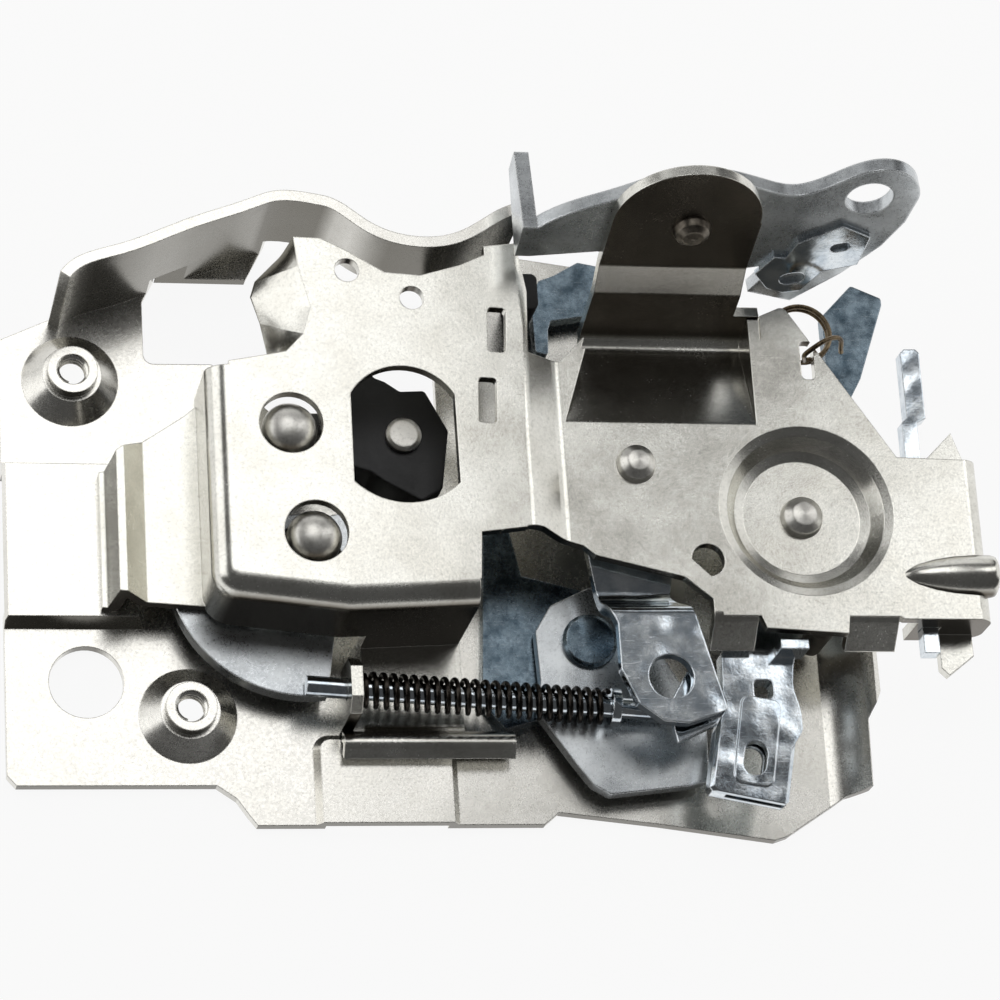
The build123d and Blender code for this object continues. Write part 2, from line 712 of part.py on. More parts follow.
export_step(dish_rivet.part, "parts/dish_rivet.step")

with BuildPart() as link_lever:
    with BuildSketch(Plane.XY.offset(link_low)) as link_outline:
        with BuildLine():
            Polyline(
                (104.6, 24), (103, 10), (101.4, 5), (96.4, 1.5), (96.1, -5.6), (96.9, -7.1),
                (94.8, -10.4), (92.8, -20.8), (105.1, -23.3), (107.2, -12.7), (108.3, -11.9),
                (108.3, -8.2), (107.3, -4.4), (107.8, -0.2), (110.8, 6), (116, 20), close=True,
            )
        make_face()
        chamfer(link_outline.vertices(), 0.6)
        with Locations(dish_axis):
            Circle(6.6)
    extrude(amount=link_t)
    # eased long edges of the folded channel
    chamfer(
        link_lever.edges().group_by(Axis.Z)[-1].filter_by_position(Axis.Y, -21.5, -13),
        0.6,
    )
    # hollow between the two layers, open at the lower end
    with BuildSketch(Plane.XY.offset(link_low + 1)):
        with BuildLine():
            Polyline((95.2, -26), (105, -26), (106, -13), (103, -10), (96.6, -10), close=True)
        make_face()
    extrude(amount=link_t - 2, mode=Mode.SUBTRACT)
    # raised channel and stop tab
    with BuildSketch(Plane.XY.offset(link_low + link_t)):
        with Locations(Location((100.9, -13.2), 80)):
            RectangleRounded(14, 6.2, 1.4)
    extrude(amount=0.4)
    with Locations((107.1, 1.2, link_low + link_t - 1)):
        Box(4.4, 1.6, 5, align=(Align.CENTER, Align.CENTER, Align.MIN))
    with BuildSketch(Plane.XY.offset(link_low - 1)):
        with Locations(dish_axis):
            Circle(dish_pin_r + run_gap)
        with Locations(Location((100.3, -16), 78)):
            SlotOverall(5.4, 3.6)
        with Locations((102.6, -4.8)):
            RectangleRounded(3, 3, 0.8)
    extrude(amount=link_t + 3, mode=Mode.SUBTRACT)
link_lever.part.label = "link_lever"
export_step(link_lever.part, "parts/link_lever.step")

with BuildPart() as link_peg:
    with Locations((113, 5.2, 6)):
        Cylinder(1.9, bracket_z - sheet - 6, align=(Align.CENTER, Align.CENTER, Align.MIN))
link_peg.part.label = "link_peg"
export_step(link_peg.part, "parts/link_peg.step")

with BuildPart() as lock_lever:
    with BuildSketch(Plane.XY.offset(lock_low)) as lock_outline:
        with BuildLine():
            Polyline(
                (104.8, 25), (116, 44), (118.8, 47.6), (118.8, 59.6), (124.2, 65.2), (129.1, 63.1),
                (129.1, 61.9), (124.4, 49), (121, 43), (115.6, 20), close=True,
            )
        make_face()
        fillet(lock_outline.vertices(), 0.6)
        with Locations(dish_axis):
            Circle(6.2)
            Circle(dish_pin_r + run_gap, mode=Mode.SUBTRACT)
    extrude(amount=lock_t)
lock_lever.part.label = "lock_lever"
export_step(lock_lever.part, "parts/lock_lever.step")

with BuildPart() as lock_slide:
    # slender bar with a stouter head
    with BuildSketch(Plane.XY.offset(13.6)) as slide_outline:
        with BuildLine():
            Polyline(
                (128.3, 0.4), (130.8, 0.4), (130.8, 38.8), (132.3, 39.6), (132.3, 51.4), (129.2, 51.4),
                (129.2, 39.6), (128.3, 38.8), close=True,
            )
        make_face()
        chamfer(slide_outline.vertices().group_by(Axis.Y)[-1], 0.6)
    extrude(amount=2.6)
lock_slide.part.label = "lock_slide"
export_step(lock_slide.part, "parts/lock_slide.step")

torsion_axis = (bracket_tip[0] + 3.6, bracket_tip[1] - 3.1)
torsion_r = 4.7
torsion_wire = 0.4
with BuildPart() as torsion_spring:
    # coil below the bracket
    with BuildLine() as torsion_coil:
        Polyline(*[
            (
                torsion_axis[0] + torsion_r * cos(radians(a)),
                torsion_axis[1] + torsion_r * sin(radians(a)),
                bracket_z - 3.1 - 1.1 * (a + 90) / 360,
            )
            for a in range(-90, 601, 30)
        ])
    with BuildSketch(Plane(origin=torsion_coil.line @ 0, z_dir=torsion_coil.line % 0)):
        RegularPolygon(torsion_wire, 6)
    sweep(transition=Transition.RIGHT)
    # arm up through the slot and over the edge of the bracket
    with BuildLine() as torsion_arm:
        Polyline(
            (torsion_axis[0] + 0.1, torsion_axis[1] - torsion_r, bracket_z - 3.4),
            (torsion_axis[0] - 0.3, torsion_axis[1] - torsion_r - 0.2, bracket_z + 0.8),
            (torsion_axis[0] + 4.6, torsion_axis[1] - torsion_r + 2.2, bracket_z + 0.9),
            (torsion_axis[0] + 6.2, torsion_axis[1] - torsion_r + 1.4, bracket_z - 3),
        )
    with BuildSketch(Plane(origin=torsion_arm.line @ 0, z_dir=torsion_arm.line % 0)):
        RegularPolygon(torsion_wire, 6)
    sweep(transition=Transition.RIGHT)
torsion_spring.part.label = "torsion_spring"
export_step(torsion_spring.part, "parts/torsion_spring.step")

lever_face = lug_face.offset(-lever_back)
with BuildPart() as top_lever:
    with BuildSketch(lever_face):
        with BuildLine():
            Polyline(
                (wing_x, 24.5), (wing_x, 17.4), (77.4, 19), (90, 14), (99, 13.6), (101.6, 15.6), (106.6, 17),
                (103.4, 9.6), (110.7, 7.6), (117.3, 15), (122, 22.2), (124.3, 28.4), (124.9, 33.9),
            )
            Spline(
                (124.9, 33.9), (123.9, 37.8), (121, 40.4), (117.7, 40.9), (112.8, 38.6), (109.5, 35.9),
                (105.6, 34.1), (101.1, 35), (96, 36.8), (91.4, 37.6), (86.6, 36.9), (78.6, 32.4),
                (69.9, 27.3), (wing_x, 24.5),
            )
        make_face()
        with Locations(lever_hole):
            Circle(lever_hole_r, mode=Mode.SUBTRACT)
        with Locations((lug_pin_x, lug_pin_s)):
            Circle(lug_pin_r + run_gap, mode=Mode.SUBTRACT)
    extrude(amount=-lever_t)
    # tapering wing bent back at the left end
    with BuildSketch(Plane(
        origin=lever_face.origin + Vector(wing_x - lever_t, 0, 0),
        x_dir=(0, lug_z, -lug_y),
        z_dir=(1, 0, 0),
    )):
        with BuildLine():
            Polyline((0, 17.4), (2, 17.4), (14.5, 20.4), (14.5, 24.8), (0, 24.5), close=True)
        make_face()
    extrude(amount=lever_t)
top_lever.part.label = "top_lever"
export_step(top_lever.part, "parts/top_lever.step")

with BuildPart() as lever_clip:
    with BuildSketch(lever_face):
        with BuildLine():
            Polyline(
                (103.2, 15.2), (105.4, 19.6), (107.2, 19.4), (108.3, 23.3), (114.4, 27.8),
                (119.4, 25.2), (119, 18.3), (113.7, 16.3), (113.3, 15.2), (111.3, 11.2),
                (108.7, 10.6), (105.9, 11.6), close=True,
            )
        make_face()
        with Locations(Location((115.2, 22.5), 20)):
            SlotOverall(3.2, 2, mode=Mode.SUBTRACT)
        with Locations(Location((109.4, 14.3), 20)):
            SlotOverall(4, 2.8, mode=Mode.SUBTRACT)
    extrude(amount=0.8)
lever_clip.part.label = "lever_clip"
export_step(lever_clip.part, "parts/lever_clip.step")

with BuildPart() as lug_rivet:
    with BuildSketch(Plane(
        origin=lug_face.from_local_coords((lug_pin_x, lug_pin_s, 0)),
        x_dir=(1, 0, 0),
        z_dir=(0, -lug_y, -lug_z),
    )):
        with BuildLine():
            Polyline(
                (0, 2), (1.6, 1.9), (2.6, 1.2), (3, 0), (lug_pin_r, 0),
                (lug_pin_r, -lever_back - lever_t - run_gap), (3.4, -lever_back - lever_t - run_gap),
                (3.4, -lever_back - lever_t - 1), (2.8, -lever_back - lever_t - 1.4),
                (0, -lever_back - lever_t - 1.4), close=True,
            )
        make_face()
    revolve(axis=Axis(lug_face.from_local_coords((lug_pin_x, lug_pin_s, 0)), lug_face.z_dir))
lug_rivet.part.label = "lug_rivet"
export_step(lug_rivet.part, "parts/lug_rivet.step")

with BuildPart() as bumper:
    with BuildSketch(Plane.XY.offset(sheet)):
        with Locations((69.6, 60.6)):
            RectangleRounded(3.2, 6, 1)
    extrude(amount=13)
bumper.part.label = "bumper"
export_step(bumper.part, "parts/bumper.step")

with BuildPart() as transfer_lever:
    with BuildSketch(Plane.XY.offset(transfer_low)) as transfer_outline:
        with BuildLine():
            Polyline(
                (72.2, 53.8), (72, 59.3), (72.2, 63.8), (73.4, 66.1), (75.9, 67.1), (78.3, 68.5), (80, 69.5),
                (88, 68), (93.4, 63), (92.6, 56.4), (88, 55.4), (81.9, 60.4), (74.9, 59.2), (74.4, 57.6),
                (74.2, 53.3), close=True,
            )
        make_face()
        fillet(transfer_outline.vertices(), 0.5)
        with Locations(transfer_axis):
            Circle(transfer_pin_r + run_gap, mode=Mode.SUBTRACT)
    extrude(amount=transfer_t)
transfer_lever.part.label = "transfer_lever"
export_step(transfer_lever.part, "parts/transfer_lever.step")

with BuildPart() as transfer_rivet:
    with BuildSketch(Plane(origin=(*transfer_axis, 0), x_dir=(1, 0, 0), z_dir=(0, -1, 0))):
        with BuildLine():
            Polyline(
                (0, sheet), (3.2, sheet), (3.2, transfer_low - run_gap), (transfer_pin_r, transfer_low - run_gap),
                (transfer_pin_r, transfer_low + transfer_t + run_gap),
                (3.2, transfer_low + transfer_t + run_gap), (3, transfer_low + transfer_t + 1),
                (1.6, transfer_low + transfer_t + 1.7), (0, transfer_low + transfer_t + 1.8), close=True,
            )
        make_face()
    revolve(axis=Axis((*transfer_axis, 0), (0, 0, 1)))
transfer_rivet.part.label = "transfer_rivet"
export_step(transfer_rivet.part, "parts/transfer_rivet.step")

# the rod runs a little downhill to the right
rod_run = Vector(rod_end[0] - rod_start[0], rod_end[1] - rod_start[1], 0)
rod_axis = rod_run.normalized()
rod_plane = Plane(origin=(*rod_start, rod_z), x_dir=(0, 0, 1), z_dir=rod_axis)
tab_right = 40.2
spring_start = (tab_right - rod_start[0]) / rod_axis.X + 0.02
collar_at = 47.0
with BuildPart() as return_rod:
    with BuildSketch(rod_plane):
        Circle(rod_r)
    extrude(amount=rod_run.length)
    with BuildSketch(rod_plane.offset(collar_at)):
        Circle(2.9)
    extrude(amount=1.4)
return_rod.part.label = "return_rod"
export_step(return_rod.part, "parts/return_rod.step")

spring_low = spring_start + wire_r + 0.2
spring_pitch = (collar_at - spring_low - wire_r - 0.2) / spring_turns
with BuildPart() as return_spring:
    with BuildLine() as spring_path:
        Polyline(*[
            rod_plane.from_local_coords((x, y, spring_low + z))
            for x, y, z in coil_points(spring_r, spring_pitch, spring_turns)
        ])
    with BuildSketch(Plane(origin=spring_path.line @ 0, z_dir=spring_path.line % 0)):
        RegularPolygon(wire_r, 4)
    sweep(transition=Transition.RIGHT)
return_spring.part.label = "return_spring"
export_step(return_spring.part, "parts/return_spring.step")
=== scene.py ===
import math

import bmesh
import bpy
from mathutils import Matrix, Vector
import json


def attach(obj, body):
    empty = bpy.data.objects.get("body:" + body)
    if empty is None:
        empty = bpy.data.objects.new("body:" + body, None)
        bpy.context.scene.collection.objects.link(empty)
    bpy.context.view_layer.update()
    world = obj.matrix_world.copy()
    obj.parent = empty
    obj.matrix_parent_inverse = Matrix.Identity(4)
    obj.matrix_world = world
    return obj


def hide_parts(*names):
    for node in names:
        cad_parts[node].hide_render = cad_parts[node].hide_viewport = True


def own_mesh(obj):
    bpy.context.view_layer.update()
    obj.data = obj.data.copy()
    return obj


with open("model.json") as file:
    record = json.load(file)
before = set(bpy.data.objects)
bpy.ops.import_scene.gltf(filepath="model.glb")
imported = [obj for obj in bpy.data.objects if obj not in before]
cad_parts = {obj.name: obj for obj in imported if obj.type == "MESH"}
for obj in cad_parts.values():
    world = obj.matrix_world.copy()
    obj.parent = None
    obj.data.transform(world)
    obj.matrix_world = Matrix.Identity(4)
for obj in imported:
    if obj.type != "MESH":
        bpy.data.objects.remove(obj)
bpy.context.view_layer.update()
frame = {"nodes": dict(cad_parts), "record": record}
scene = bpy.context.scene
mm = 0.001
print("frame loaded")


def hexColour(code):
    # sRGB hex to linear RGBA
    parts = [int(code[i:i + 2], 16) / 255 for i in (1, 3, 5)]
    return [c / 12.92 if c <= 0.04045 else ((c + 0.055) / 1.055) ** 2.4 for c in parts] + [1]


def addNode(tree, kind, settings=None, inputs=None):
    # settings are the node's own properties; an input is a value or an output socket
    node = tree.nodes.new(kind)
    for key, value in (settings or {}).items():
        setattr(node, key, value)
    for key, value in (inputs or {}).items():
        if isinstance(value, bpy.types.NodeSocket):
            tree.links.new(value, node.inputs[key])
        else:
            node.inputs[key].default_value = value
    return node


# where each noise is cut, and how the pattern lies on the metal
pattern = {
    "toneCut": (0.36, 0.64), "speckCut": (0.5, 0.7), "scratchCut": (0.67, 0.74),
    "scratchLay": ((0.5, 26), (-0.9, 34)),  # turn in radians and how much longer than wide
    "rubHighlightCut": (0.99, 0.8), "wallCut": (0.75, 0.96), "patchCut": (0.7, 1.3), "grainDepthMm": 0.04,
}


def plating(finish):
    # plated or coated steel: cloudy tone, fine speckle, handling scratches and edges made bright, partly by
    # rub and partly as a painted highlight
    mat = bpy.data.materials.new(finish["name"])
    mat.use_nodes = True
    tree = mat.node_tree
    shader = tree.nodes["Principled BSDF"]
    place = addNode(tree, "ShaderNodeTexCoord").outputs["Object"]
    cloud = addNode(tree, "ShaderNodeTexNoise", {}, {
        "Vector": place, "Scale": 1 / (finish["cloudMm"] * mm), "Detail": 5.0, "Roughness": 0.62})
    tone = addNode(tree, "ShaderNodeValToRGB", {}, {"Fac": cloud.outputs["Fac"]})
    for stop, cut, colour in zip(tone.color_ramp.elements, pattern["toneCut"], ("dark", "light")):
        stop.position = cut
        stop.color = hexColour(finish[colour])
    # specks of the crystal pattern in the plating
    crystals = addNode(tree, "ShaderNodeTexNoise", {}, {
        "Vector": place, "Scale": 1 / (finish["speckMm"] * mm), "Detail": 3.0, "Roughness": 0.75})
    speck = addNode(tree, "ShaderNodeMapRange", {}, {
        "Value": crystals.outputs["Fac"], "From Min": pattern["speckCut"][0],
        "From Max": pattern["speckCut"][1], "To Min": 0.0, "To Max": finish["speckTone"]})
    speckled = addNode(tree, "ShaderNodeMix", {"data_type": "RGBA"}, {
        "Factor": speck.outputs["Result"], "A": tone.outputs["Color"], "B": hexColour(finish["speck"])})
    # two families of thin scratches, each a stretched noise cut to its peaks
    lines = []
    for turn, stretch in pattern["scratchLay"]:
        turned = addNode(tree, "ShaderNodeMapping", {}, {
            "Vector": place, "Rotation": (0.3, 0.2, turn), "Scale": (1, stretch, 1)})
        drawn = addNode(tree, "ShaderNodeTexNoise", {}, {
            "Vector": turned.outputs["Vector"], "Scale": 1 / (finish["scratchMm"] * mm),
            "Detail": 2.0, "Roughness": 0.6})
        lines.append(addNode(tree, "ShaderNodeMapRange", {}, {
            "Value": drawn.outputs["Fac"], "From Min": pattern["scratchCut"][0],
            "From Max": pattern["scratchCut"][1], "To Min": 0.0, "To Max": 1.0}))
    scratch = addNode(tree, "ShaderNodeMath", {"operation": "MAXIMUM"}, {
        0: lines[0].outputs["Result"], 1: lines[1].outputs["Result"]})
    marked = addNode(tree, "ShaderNodeMath", {"operation": "MULTIPLY"}, {
        0: scratch.outputs[0], 1: finish["scratchTone"]})
    worn = addNode(tree, "ShaderNodeMix", {"data_type": "RGBA"}, {
        "Factor": marked.outputs[0], "A": speckled.outputs["Result"],
        "B": hexColour(finish["scratchColour"])})
    # rounded edges in the shading, and along them a bright colour that is partly rub and partly a painted
    # highlight
    rounded = addNode(tree, "ShaderNodeBevel", {"samples": 6}, {"Radius": finish["edgeMm"] * mm})
    flat = addNode(tree, "ShaderNodeNewGeometry").outputs["Normal"]
    facing = addNode(tree, "ShaderNodeVectorMath", {"operation": "DOT_PRODUCT"}, {
        0: rounded.outputs["Normal"], 1: flat})
    rubAndHighlight = addNode(tree, "ShaderNodeMapRange", {}, {
        "Value": facing.outputs["Value"], "From Min": pattern["rubHighlightCut"][0],
        "From Max": pattern["rubHighlightCut"][1], "To Min": 0.0, "To Max": finish["edgeRubHighlightTone"]})
    colour = addNode(tree, "ShaderNodeMix", {"data_type": "RGBA"}, {
        "Factor": rubAndHighlight.outputs["Result"], "A": worn.outputs["Result"], "B": hexColour(finish["edge"])})
    if "wall" in finish:
        # painted shade and reflection: walls that face along Y get a dark tone standing for the dark room
        # they reflect, partly also a duller chromate than on the flats
        facingSide = addNode(tree, "ShaderNodeSeparateXYZ", {}, {
            "Vector": addNode(tree, "ShaderNodeTexCoord").outputs["Normal"]})
        steep = addNode(tree, "ShaderNodeMath", {"operation": "ABSOLUTE"}, {0: facingSide.outputs["Y"]})
        wall = addNode(tree, "ShaderNodeMapRange", {}, {
            "Value": steep.outputs[0], "From Min": pattern["wallCut"][0], "From Max": pattern["wallCut"][1],
            "To Min": 0.0, "To Max": finish["wallTone"]})
        colour = addNode(tree, "ShaderNodeMix", {"data_type": "RGBA"}, {
            "Factor": wall.outputs["Result"], "A": colour.outputs["Result"], "B": hexColour(finish["wall"])})
    tree.links.new(colour.outputs["Result"], shader.inputs["Base Color"])
    grain = addNode(tree, "ShaderNodeTexNoise", {}, {
        "Vector": place, "Scale": 1 / (finish["grainMm"] * mm), "Detail": 2.0, "Roughness": 0.5})
    patchy = addNode(tree, "ShaderNodeMath", {"operation": "ADD"}, {
        0: grain.outputs["Fac"], 1: cloud.outputs["Fac"]})
    rough = addNode(tree, "ShaderNodeMapRange", {}, {
        "Value": patchy.outputs[0], "From Min": pattern["patchCut"][0], "From Max": pattern["patchCut"][1],
        "To Min": finish["roughMin"], "To Max": finish["roughMax"]})
    tree.links.new(rough.outputs["Result"], shader.inputs["Roughness"])
    relief = addNode(tree, "ShaderNodeMath", {"operation": "SUBTRACT"}, {
        0: grain.outputs["Fac"], 1: marked.outputs[0]})
    wave = addNode(tree, "ShaderNodeTexNoise", {}, {
        "Vector": place, "Scale": 1 / (finish["waveMm"] * mm), "Detail": 1.0, "Roughness": 0.4})
    waved = addNode(tree, "ShaderNodeBump", {}, {
        "Height": wave.outputs["Fac"], "Strength": 1.0, "Distance": finish["waveDepthMm"] * mm,
        "Normal": rounded.outputs["Normal"]})
    bump = addNode(tree, "ShaderNodeBump", {}, {
        "Height": relief.outputs[0], "Strength": finish["bump"], "Distance": pattern["grainDepthMm"] * mm,
        "Normal": waved.outputs["Normal"]})
    tree.links.new(bump.outputs["Normal"], shader.inputs["Normal"])
    shader.inputs["Metallic"].default_value = finish["metallic"]
    return mat


finishes = {
    # satin zinc on drawn sheet: pale, slightly warm, soft grain, and painted shade on the flange walls,
    # partly a duller chromate
    "plate_zinc": {
        "name": "satinZincSheet", "dark": "#dedcd5", "light": "#efede7", "cloudMm": 12,
        "speck": "#b4b0a6", "speckMm": 0.7, "speckTone": 0.25,
        "scratchColour": "#f6f4ee", "scratchMm": 6, "scratchTone": 0.3,
        "edge": "#efece4", "edgeMm": 0.22, "edgeRubHighlightTone": 0.6,
        "wall": "#5c584f", "wallTone": 0.9,
        "waveMm": 14, "waveDepthMm": 0.12, "grainMm": 0.4, "bump": 0.1,
        "roughMin": 0.2, "roughMax": 0.31, "metallic": 1.0},
    # the same sheet on the frame, more handled, with a browner painted shade on the lug walls, partly
    # chromate
    "frame_zinc": {
        "name": "handledZincSheet", "dark": "#d6d4cc", "light": "#ecebe4", "cloudMm": 10,
        "speck": "#8d8a81", "speckMm": 0.6, "speckTone": 0.25,
        "scratchColour": "#f2efe8", "scratchMm": 5, "scratchTone": 0.35,
        "edge": "#ece9e0", "edgeMm": 0.25, "edgeRubHighlightTone": 0.6,
        "wall": "#4c4235", "wallTone": 0.9,
        "waveMm": 16, "waveDepthMm": 0.14, "grainMm": 0.35, "bump": 0.14,
        "roughMin": 0.19, "roughMax": 0.28, "metallic": 1.0},
    # thick lever stock, sheared and plated: cool satin grey with bright edges, partly cut and rubbed and
    # partly a painted highlight
    "lever_zinc": {
        "name": "satinZincLever", "dark": "#b9bdc0", "light": "#e0e4e6", "cloudMm": 8,
        "speck": "#86888a", "speckMm": 0.6, "speckTone": 0.3,
        "scratchColour": "#eef0f0", "scratchMm": 4, "scratchTone": 0.35,
        "edge": "#f0f0ee", "edgeMm": 0.4, "edgeRubHighlightTone": 0.7,
        "waveMm": 9, "waveDepthMm": 0.15, "grainMm": 0.35, "bump": 0.12,
        "roughMin": 0.24, "roughMax": 0.34, "metallic": 1.0},
    # small bright zinc parts, cool and nearly mirror-like
    "bright_zinc": {
        "name": "blueBrightZinc", "dark": "#c0cad3", "light": "#e6ecf0", "cloudMm": 3.4,
        "speck": "#7b8998", "speckMm": 0.5, "speckTone": 0.25,
        "scratchColour": "#f4f7f8", "scratchMm": 4, "scratchTone": 0.35,
        "edge": "#f2f5f7", "edgeMm": 0.3, "edgeRubHighlightTone": 0.8,
        "waveMm": 6, "waveDepthMm": 0.2, "grainMm": 0.5, "bump": 0.1,
        "roughMin": 0.07, "roughMax": 0.16, "metallic": 1.0},
    # cool grey zinc mottled with small dark crystals
    "grey_zinc": {
        "name": "mottledGreyZinc", "dark": "#4f5f6a", "light": "#8797a2", "cloudMm": 3,
        "speck": "#46525f", "speckMm": 0.8, "speckTone": 0.6,
        "scratchColour": "#dfe4e8", "scratchMm": 4, "scratchTone": 0.3,
        "edge": "#dde3e6", "edgeMm": 0.3, "edgeRubHighlightTone": 0.7,
        "waveMm": 6, "waveDepthMm": 0.14, "grainMm": 0.4, "bump": 0.14,
        "roughMin": 0.2, "roughMax": 0.34, "metallic": 1.0},
    # cold-headed rivets, tumbled to a pale dull shine
    "rivet_steel": {
        "name": "tumbledSteelRivet", "dark": "#dcdad3", "light": "#f0eee8", "cloudMm": 3,
        "speck": "#8a877f", "speckMm": 0.5, "speckTone": 0.35,
        "scratchColour": "#efeeea", "scratchMm": 3, "scratchTone": 0.3,
        "edge": "#dcd9d2", "edgeMm": 0.5, "edgeRubHighlightTone": 0.4,
        "waveMm": 3, "waveDepthMm": 0.04, "grainMm": 0.3, "bump": 0.2,
        "roughMin": 0.3, "roughMax": 0.42, "metallic": 1.0},
    # oiled steel, brownish and low in gloss
    "dark_steel": {
        "name": "oiledDarkSteel", "dark": "#5a544c", "light": "#8a8378", "cloudMm": 2.5,
        "speck": "#3c3833", "speckMm": 0.5, "speckTone": 0.4,
        "scratchColour": "#b5ada0", "scratchMm": 3, "scratchTone": 0.3,
        "edge": "#a9a194", "edgeMm": 0.4, "edgeRubHighlightTone": 0.5,
        "waveMm": 3, "waveDepthMm": 0.04, "grainMm": 0.3, "bump": 0.2,
        "roughMin": 0.28, "roughMax": 0.42, "metallic": 1.0},
    # black moulded coat on the fork, semi-matt
    "black_coat": {
        "name": "blackPolyamideCoat", "dark": "#0a0a0c", "light": "#131316", "cloudMm": 5,
        "speck": "#1d1d20", "speckMm": 0.5, "speckTone": 0.4,
        "scratchColour": "#3a3a3c", "scratchMm": 4, "scratchTone": 0.25,
        "edge": "#232326", "edgeMm": 0.5, "edgeRubHighlightTone": 0.5,
        "waveMm": 8, "waveDepthMm": 0.05, "grainMm": 0.3, "bump": 0.2,
        "roughMin": 0.34, "roughMax": 0.48, "metallic": 0.0},
    # oil-tempered spring wire, nearly black with a thin shine
    "dark_wire": {
        "name": "oiledSpringWire", "dark": "#26221f", "light": "#45403b", "cloudMm": 2,
        "speck": "#14110f", "speckMm": 0.3, "speckTone": 0.4,
        "scratchColour": "#8a8580", "scratchMm": 2, "scratchTone": 0.25,
        "edge": "#5a544e", "edgeMm": 0.1, "edgeRubHighlightTone": 0.3,
        "waveMm": 4, "waveDepthMm": 0.01, "grainMm": 0.2, "bump": 0.15,
        "roughMin": 0.22, "roughMax": 0.36, "metallic": 1.0},
    # spring wire with a bronze tint
    "bronze_wire": {
        "name": "bronzedSpringWire", "dark": "#54483a", "light": "#85755d", "cloudMm": 2,
        "speck": "#332b22", "speckMm": 0.3, "speckTone": 0.4,
        "scratchColour": "#c9b28e", "scratchMm": 2, "scratchTone": 0.25,
        "edge": "#a8967a", "edgeMm": 0.1, "edgeRubHighlightTone": 0.3,
        "waveMm": 4, "waveDepthMm": 0.01, "grainMm": 0.2, "bump": 0.15,
        "roughMin": 0.22, "roughMax": 0.36, "metallic": 1.0},
    # moulded rubber, matt black: painted shade, as the bumper it covers stands as a dark block in the
    # shadowed gap under the top lever
    "rubber_black": {
        "name": "blackRubberShadeBlock", "dark": "#0b0b0b", "light": "#141414", "cloudMm": 3,
        "speck": "#1c1c1c", "speckMm": 0.4, "speckTone": 0.3,
        "scratchColour": "#2c2c2c", "scratchMm": 3, "scratchTone": 0.2,
        "edge": "#202020", "edgeMm": 0.5, "edgeRubHighlightTone": 0.4,
        "waveMm": 6, "waveDepthMm": 0.05, "grainMm": 0.3, "bump": 0.25,
        "roughMin": 0.5, "roughMax": 0.7, "metallic": 0.0},
}
slotMaterial = {key: plating(value) for key, value in finishes.items()}
nodeSlot = {s["node"]: s["material_slot"] for s in frame["record"]["subparts"]}
for name, obj in frame["nodes"].items():
    if not obj.material_slots:
        obj.data.materials.append(slotMaterial[nodeSlot[name]])
    for place in obj.material_slots:
        place.material = slotMaterial[nodeSlot[name]]
print("finishes on the CAD nodes")


def finishPiece(mesh, name, slotName, body, sharpDegrees=35):
    # a bmesh becomes an object at the origin that rides on a body, smooth but for its sharp edges
    bmesh.ops.recalc_face_normals(mesh, faces=mesh.faces)
    data = bpy.data.meshes.new(name)
    mesh.to_mesh(data)
    mesh.free()
    obj = bpy.data.objects.new(name, data)
    scene.collection.objects.link(obj)
    data.materials.append(slotMaterial[slotName])
    for poly in data.polygons:
        poly.use_smooth = True
    data.set_sharp_from_angle(angle=math.radians(sharpDegrees))
    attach(obj, body)
    return obj


def wind(mesh, centre, axis, rise, turns, steps):
    # the face in the mesh is wound round an axis and rises by so much in each turn
    bmesh.ops.spin(mesh, geom=mesh.verts[:] + mesh.edges[:] + mesh.faces[:], cent=centre, axis=axis,
                   dvec=Vector(axis) * rise * turns / steps, angle=2 * math.pi * turns, steps=steps,
                   use_merge=False)


def turned(points, centre, axis, steps):
    # a profile that starts or ends on the axis, turned full round
    mesh = bmesh.new()
    line = [mesh.verts.new(point) for point in points]
    for start, end in zip(line, line[1:]):
        mesh.edges.new((start, end))
    bmesh.ops.spin(mesh, geom=mesh.verts[:] + mesh.edges[:], cent=centre, axis=axis, angle=2 * math.pi,
                   steps=steps, use_merge=True)
    bmesh.ops.remove_doubles(mesh, verts=mesh.verts, dist=0.001 * mm)
    return mesh


# compression spring on the rod
returnSpring = {"start": (40.8, -3.9, 10.3), "end": (78.5, -6.52, 10.3), "coil": 2.5, "wire": 0.4,
                "turns": 24, "sides": 10, "stepsInTurn": 28}
springStart = Vector(returnSpring["start"]) * mm
springRun = Vector(returnSpring["end"]) * mm - springStart
springAxis = springRun.normalized()
springSide = springAxis.orthogonal().normalized()
springFrame = Matrix((springSide, springAxis.cross(springSide), springAxis)).transposed().to_4x4()
coil = bmesh.new()
wireEnd = bmesh.ops.create_circle(coil, cap_ends=True, segments=returnSpring["sides"],
                                  radius=returnSpring["wire"] * mm)["verts"]
# the wire's section stands across the winding direction
bmesh.ops.rotate(coil, verts=wireEnd, cent=(0, 0, 0), matrix=Matrix.Rotation(math.pi / 2, 3, "X"))
bmesh.ops.translate(coil, verts=wireEnd, vec=(returnSpring["coil"] * mm, 0, 0))
bmesh.ops.transform(coil, verts=wireEnd, matrix=Matrix.Translation(springStart) @ springFrame)
wind(coil, springStart, springAxis, springRun.length / returnSpring["turns"], returnSpring["turns"],
     returnSpring["stepsInTurn"] * returnSpring["turns"])
springPiece = finishPiece(coil, "return_spring_wire", "dark_wire", "housing")
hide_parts("return_spring")
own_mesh(springPiece)
print("return spring")

# bead on the clip: distance along X and radius
clipBead = {"y": 11.9, "z": 19.3, "steps": 40, "profile": (
    (124.4, 0.0), (125.2, 0.8), (127.2, 1.8), (130.0, 2.6), (133.0, 3.1), (136.5, 3.35), (138.8, 3.35),
    (139.5, 3.2), (139.7, 2.95), (139.7, 0.0))}
beadLine = [(x * mm, clipBead["y"] * mm, (clipBead["z"] + r) * mm) for x, r in clipBead["profile"]]
bead = turned(beadLine, (0, clipBead["y"] * mm, clipBead["z"] * mm), (1, 0, 0), clipBead["steps"])
finishPiece(bead, "clip_bead", "frame_zinc", "housing", 60)
print("bead on the clip")

